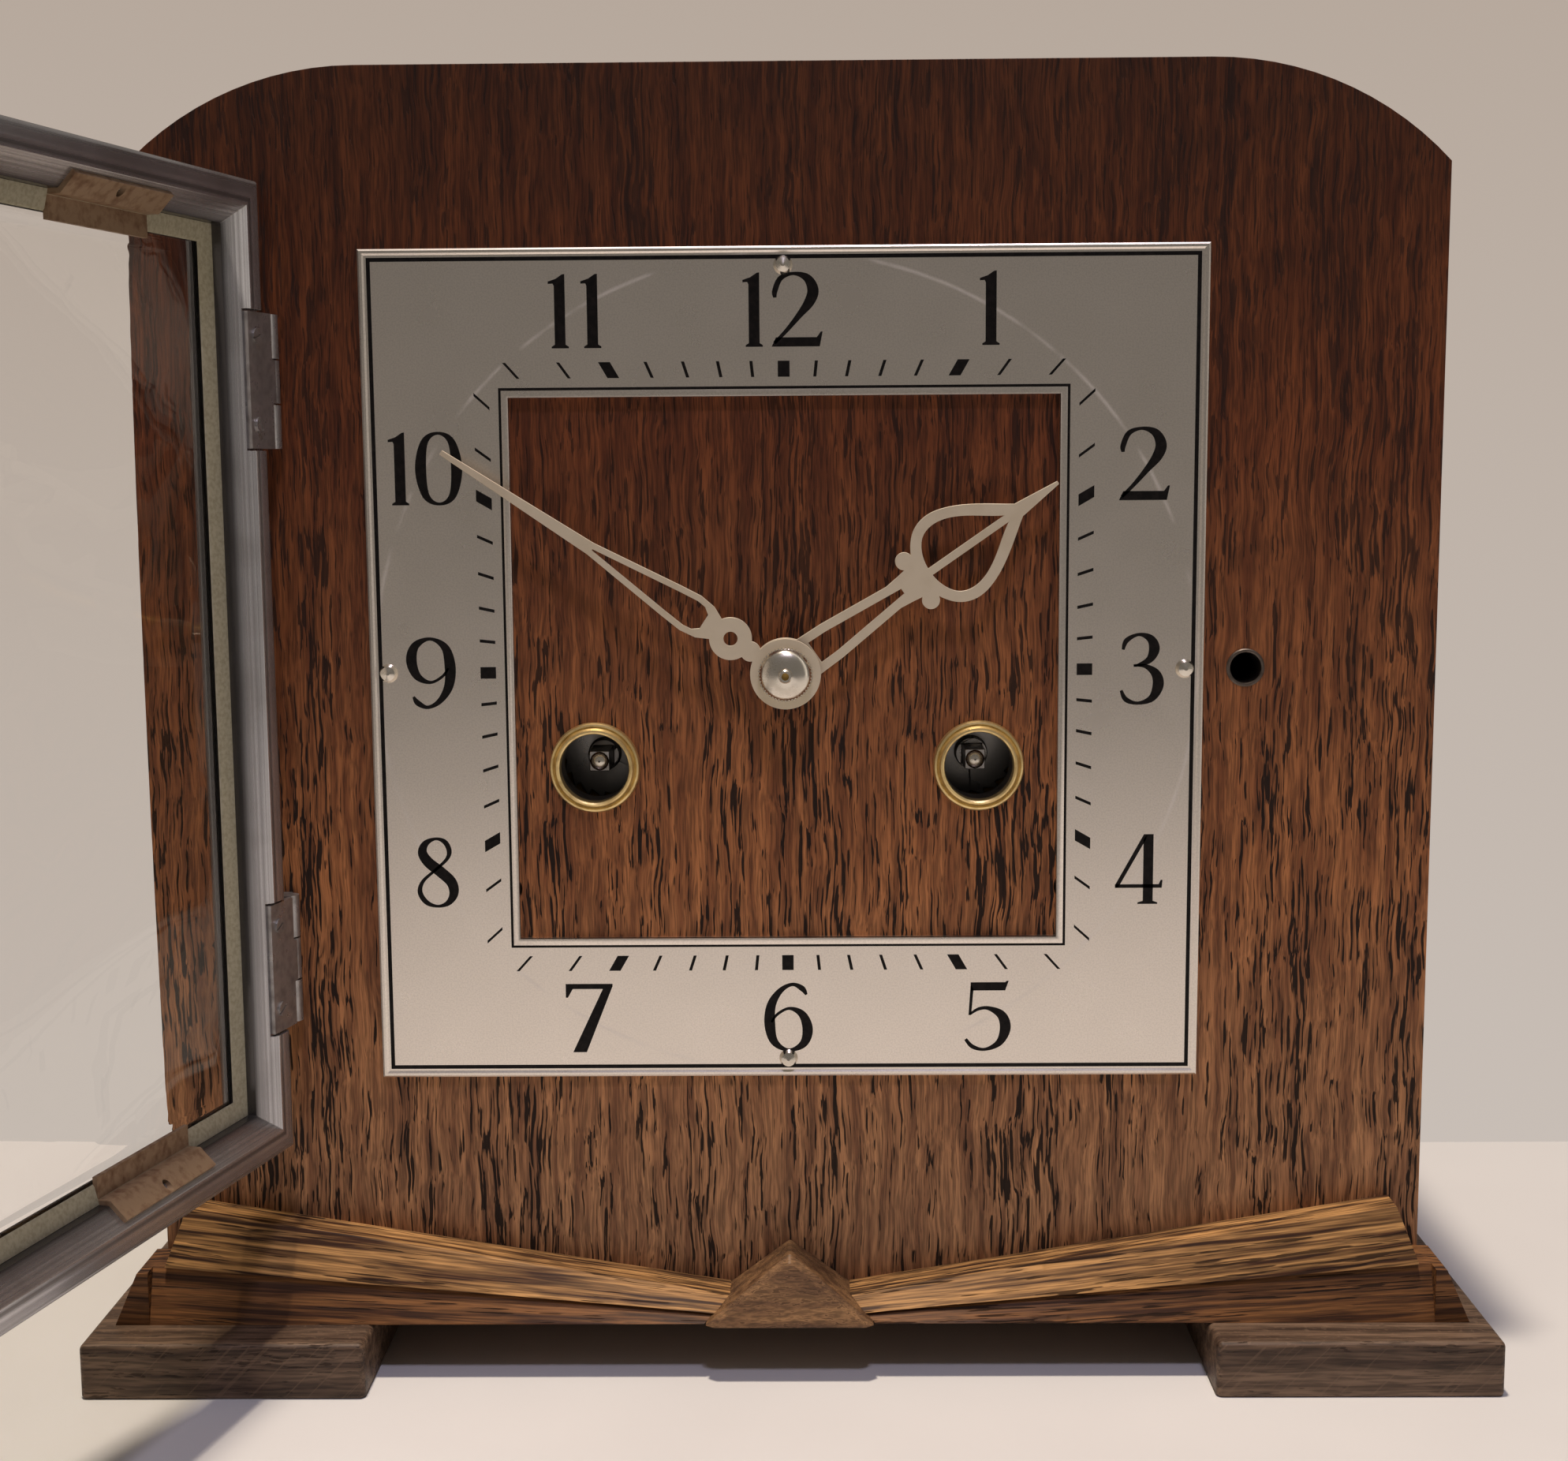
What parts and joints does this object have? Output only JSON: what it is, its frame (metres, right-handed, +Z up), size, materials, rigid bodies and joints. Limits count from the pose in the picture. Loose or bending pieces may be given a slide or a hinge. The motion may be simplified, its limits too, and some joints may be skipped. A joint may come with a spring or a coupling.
{
  "type": "mantel clock",
  "caption": "Striking mantel clock in an arched oak case with a square silvered dial, pierced hands, and an open hinged glass bezel over a two-train movement.",
  "frame": {"origin": "on the floor under the middle of the case, midway between the two feet", "axes": "+X to the viewer's right, +Y from the dial to the back, +Z up"},
  "size_m": [0.2678, 0.2921, 0.2352],
  "materials": {
    "oak": "waxed dark oak",
    "inner_wood": "plain unpolished wood",
    "striped_wood": "striped veneer, semi-gloss",
    "foot_wood": "stained wood with saw marks",
    "silvered": "satin silvered sheet",
    "hand_metal": "pale satin metal",
    "brass": "polished brass",
    "plate_brass": "matt brass",
    "steel": "bright steel",
    "chrome": "chromed",
    "hinge_metal": "plated steel, dulled",
    "clip_steel": "rusted steel",
    "glass": "clear convex glass"
  },
  "bodies": {
    "case": {"case_front": "oak", "back_panel": "inner_wood", "case_top": "oak", "case_left_side": "oak", "case_right_side": "oak", "base_board": "inner_wood", "foot_left": "foot_wood", "foot_right": "foot_wood", "upper_strip_left": "striped_wood", "upper_strip_right": "striped_wood", "lower_strip_left": "striped_wood", "lower_strip_right": "striped_wood", "keystone": "foot_wood", "dial_plate": "silvered", "dial_pins": "hand_metal", "winding_grommets": "brass", "catch_eyelet": "steel", "bezel_hinge_case_leaves": "hinge_metal", "back_panel_fittings": "hinge_metal", "front_plate": "plate_brass", "back_plate": "plate_brass", "movement_pillars": "steel", "suspension_cock": "plate_brass", "gong": "steel"},
    "bezel_door": {"bezel_frame": "chrome", "bezel_glass": "glass", "glass_clips": "clip_steel", "bezel_catch": "steel", "bezel_hinge_door_leaves": "hinge_metal"},
    "rear_door": {"back_door": "inner_wood", "back_hinge_door_leaves": "hinge_metal"},
    "button": {"turn_button": "brass"},
    "minute_work": {"cannon_pinion": "steel", "minute_hand": "hand_metal", "hand_nut": "hand_metal"},
    "hour_work": {"hour_wheel": "plate_brass", "hour_hand": "hand_metal"},
    "pendulum": {"pendulum_rod": "steel", "pendulum_bob": "brass"},
    "minute_wheel": {"minute_wheel": "plate_brass"},
    "centre_wheel": {"centre_wheel": "plate_brass"},
    "second_wheel": {"second_wheel": "plate_brass"},
    "going_barrel": {"going_barrel": "plate_brass"},
    "third_wheel": {"third_wheel": "plate_brass"},
    "escape_wheel": {"escape_wheel": "plate_brass"},
    "anchor": {"anchor": "steel"},
    "going_winding_arbor": {"going_winding_arbor": "steel"},
    "strike_winding_arbor": {"strike_winding_arbor": "steel"},
    "going_click": {"going_click": "steel"},
    "strike_click": {"strike_click": "steel"},
    "strike_barrel": {"strike_barrel": "plate_brass"},
    "pin_wheel": {"pin_wheel": "plate_brass"},
    "gathering_wheel": {"gathering_wheel": "plate_brass"},
    "warning_wheel": {"warning_wheel": "plate_brass"},
    "fly": {"fly": "plate_brass"},
    "rack": {"rack": "steel"},
    "rack_hook": {"rack_hook": "steel"},
    "lifting_lever": {"lifting_lever": "steel"},
    "hammer_front": {"hammer_front": "brass"},
    "hammer_rear": {"hammer_rear": "brass"}
  },
  "joints": [
    {"name": "bezel_hinge", "type": "hinge", "parent": "case", "child": "bezel_door", "pos_m": [-0.0909, -0.0504, 0.1285], "axis": [0, 0, 1], "range_deg": [-10, 104]},
    {"name": "rear_door_hinge", "type": "hinge", "parent": "case", "child": "rear_door", "pos_m": [0.075, 0.0656, 0.1162], "axis": [0, 0, -1], "range_deg": [0, 110]},
    {"name": "button_turn", "type": "hinge", "parent": "case", "child": "button", "pos_m": [-0.083, 0.0659, 0.1162], "axis": [0, 1, 0], "range_deg": [0, 90]},
    {"name": "minute_turn", "type": "hinge", "parent": "case", "child": "minute_work", "pos_m": [0, -0.05, 0.1285], "axis": [0, 1, 0], "continuous": true},
    {"name": "hour_turn", "type": "hinge", "parent": "case", "child": "hour_work", "pos_m": [0, -0.045, 0.1285], "axis": [0, 1, 0], "continuous": true},
    {"name": "minute_wheel_turn", "type": "hinge", "parent": "case", "child": "minute_wheel", "pos_m": [0.01128, -0.03, 0.1326], "axis": [0, 1, 0], "continuous": true},
    {"name": "third_turn", "type": "hinge", "parent": "case", "child": "third_wheel", "pos_m": [0.009, 0, 0.14409], "axis": [0, 1, 0], "continuous": true},
    {"name": "centre_turn", "type": "hinge", "parent": "case", "child": "centre_wheel", "pos_m": [0, 0, 0.1285], "axis": [0, 1, 0], "continuous": true},
    {"name": "second_turn", "type": "hinge", "parent": "case", "child": "second_wheel", "pos_m": [0.01132, 0, 0.1131], "axis": [0, 1, 0], "continuous": true},
    {"name": "going_barrel_turn", "type": "hinge", "parent": "case", "child": "going_barrel", "pos_m": [0.03485, 0, 0.111], "axis": [0, 1, 0], "continuous": true},
    {"name": "escape_turn", "type": "hinge", "parent": "case", "child": "escape_wheel", "pos_m": [0, 0, 0.15777], "axis": [0, 1, 0], "continuous": true},
    {"name": "warning_turn", "type": "hinge", "parent": "case", "child": "warning_wheel", "pos_m": [-0.03128, 0, 0.15651], "axis": [0, 1, 0], "continuous": true},
    {"name": "gathering_turn", "type": "hinge", "parent": "case", "child": "gathering_wheel", "pos_m": [-0.03635, 0, 0.14564], "axis": [0, 1, 0], "continuous": true},
    {"name": "pin_turn", "type": "hinge", "parent": "case", "child": "pin_wheel", "pos_m": [-0.0437, 0, 0.1329], "axis": [0, 1, 0], "continuous": true},
    {"name": "strike_barrel_turn", "type": "hinge", "parent": "case", "child": "strike_barrel", "pos_m": [-0.03485, 0, 0.111], "axis": [0, 1, 0], "continuous": true},
    {"name": "fly_turn", "type": "hinge", "parent": "case", "child": "fly", "pos_m": [-0.02354, 0, 0.16193], "axis": [0, 1, 0], "continuous": true},
    {"name": "going_winding", "type": "hinge", "parent": "case", "child": "going_winding_arbor", "pos_m": [0.03485, -0.036, 0.111], "axis": [0, 1, 0], "continuous": true},
    {"name": "strike_winding", "type": "hinge", "parent": "case", "child": "strike_winding_arbor", "pos_m": [-0.03485, -0.036, 0.111], "axis": [0, 1, 0], "continuous": true},
    {"name": "going_click_pivot", "type": "hinge", "parent": "case", "child": "going_click", "pos_m": [0.04205, -0.028, 0.1236], "axis": [0, 1, 0], "range_deg": [0, 6], "stiffness_Nm_per_rad": 0.01},
    {"name": "strike_click_pivot", "type": "hinge", "parent": "case", "child": "strike_click", "pos_m": [-0.04205, -0.028, 0.1236], "axis": [0, -1, 0], "range_deg": [0, 6], "stiffness_Nm_per_rad": 0.01},
    {"name": "pendulum_swing", "type": "hinge", "parent": "case", "child": "pendulum", "pos_m": [0, 0.02, 0.17477], "axis": [0, 1, 0], "range_deg": [-3.5, 3.5]},
    {"name": "anchor_rock", "type": "hinge", "parent": "case", "child": "anchor", "pos_m": [0, 0, 0.17477], "axis": [0, 1, 0], "range_deg": [-3.5, 3.5]},
    {"name": "rack_pivot", "type": "hinge", "parent": "case", "child": "rack", "pos_m": [-0.0078, -0.03, 0.1023], "axis": [0, -1, 0], "range_deg": [0, 2]},
    {"name": "lever_lift", "type": "hinge", "parent": "case", "child": "lifting_lever", "pos_m": [-0.008, -0.03, 0.1625], "axis": [0, 1, 0], "range_deg": [0, 5]},
    {"name": "hook_lift", "type": "hinge", "parent": "case", "child": "rack_hook", "pos_m": [-0.044, -0.03, 0.1585], "axis": [0, -1, 0], "range_deg": [0, 10]},
    {"name": "hammer_front_swing", "type": "hinge", "parent": "case", "child": "hammer_front", "pos_m": [-0.046, 0.032, 0.0925], "axis": [0, -1, 0], "range_deg": [0, 15]},
    {"name": "hammer_rear_swing", "type": "hinge", "parent": "case", "child": "hammer_rear", "pos_m": [-0.046, 0.041, 0.0925], "axis": [0, -1, 0], "range_deg": [0, 15]}
  ],
  "couplings": [
    {"joint": "minute_wheel_turn", "follows": "minute_turn", "ratio": -0.33333},
    {"joint": "hour_turn", "follows": "minute_turn", "ratio": 0.083333},
    {"joint": "centre_turn", "follows": "third_turn", "ratio": -0.090909},
    {"joint": "second_turn", "follows": "third_turn", "ratio": 0.015152},
    {"joint": "going_barrel_turn", "follows": "third_turn", "ratio": -0.0025253},
    {"joint": "escape_turn", "follows": "third_turn", "ratio": -12},
    {"joint": "gathering_turn", "follows": "warning_turn", "ratio": -0.14286},
    {"joint": "pin_turn", "follows": "warning_turn", "ratio": 0.02381},
    {"joint": "strike_barrel_turn", "follows": "warning_turn", "ratio": -0.0039683},
    {"joint": "fly_turn", "follows": "warning_turn", "ratio": -6},
    {"joint": "anchor_rock", "follows": "pendulum_swing", "ratio": 1},
    {"joint": "hook_lift", "follows": "lever_lift", "ratio": 1.3}
  ]
}
